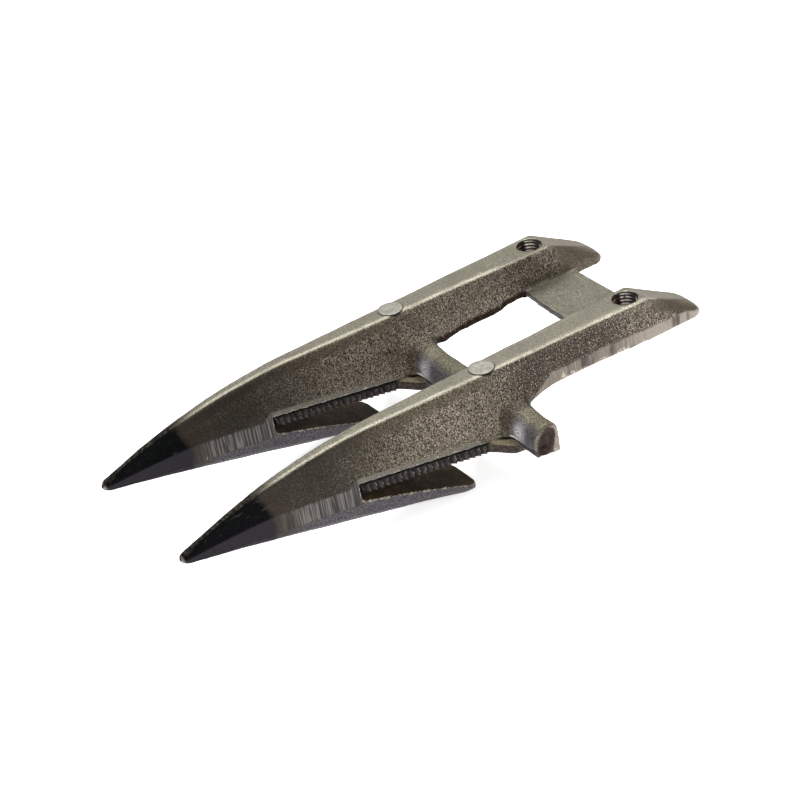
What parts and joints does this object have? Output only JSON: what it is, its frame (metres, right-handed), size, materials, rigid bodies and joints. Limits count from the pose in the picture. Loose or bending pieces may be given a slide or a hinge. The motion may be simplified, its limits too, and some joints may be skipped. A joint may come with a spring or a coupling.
{
  "type": "mower knife guard",
  "caption": "Forged mower knife guard: tapering fingers with slanted knife slots over a lip, riveted serrated ledger plates, a cross bar with ears, and a thin web between threaded tails.",
  "frame": {"origin": "on the seat plane, midway between the axes of the bolt holes", "axes": "X across the fingers, the finger tips along -Y, +Z from the seat towards the crests"},
  "size_m": [0.151, 0.2788, 0.0537],
  "materials": {
    "forged_steel": "dark forged",
    "ledger_steel": "dark ground",
    "rivet_steel": "bare"
  },
  "bodies": {
    "root": {"guard_body": "forged_steel", "left_ledger_plate": "ledger_steel", "right_ledger_plate": "ledger_steel", "ledger_rivets": "rivet_steel"}
  },
  "joints": []
}
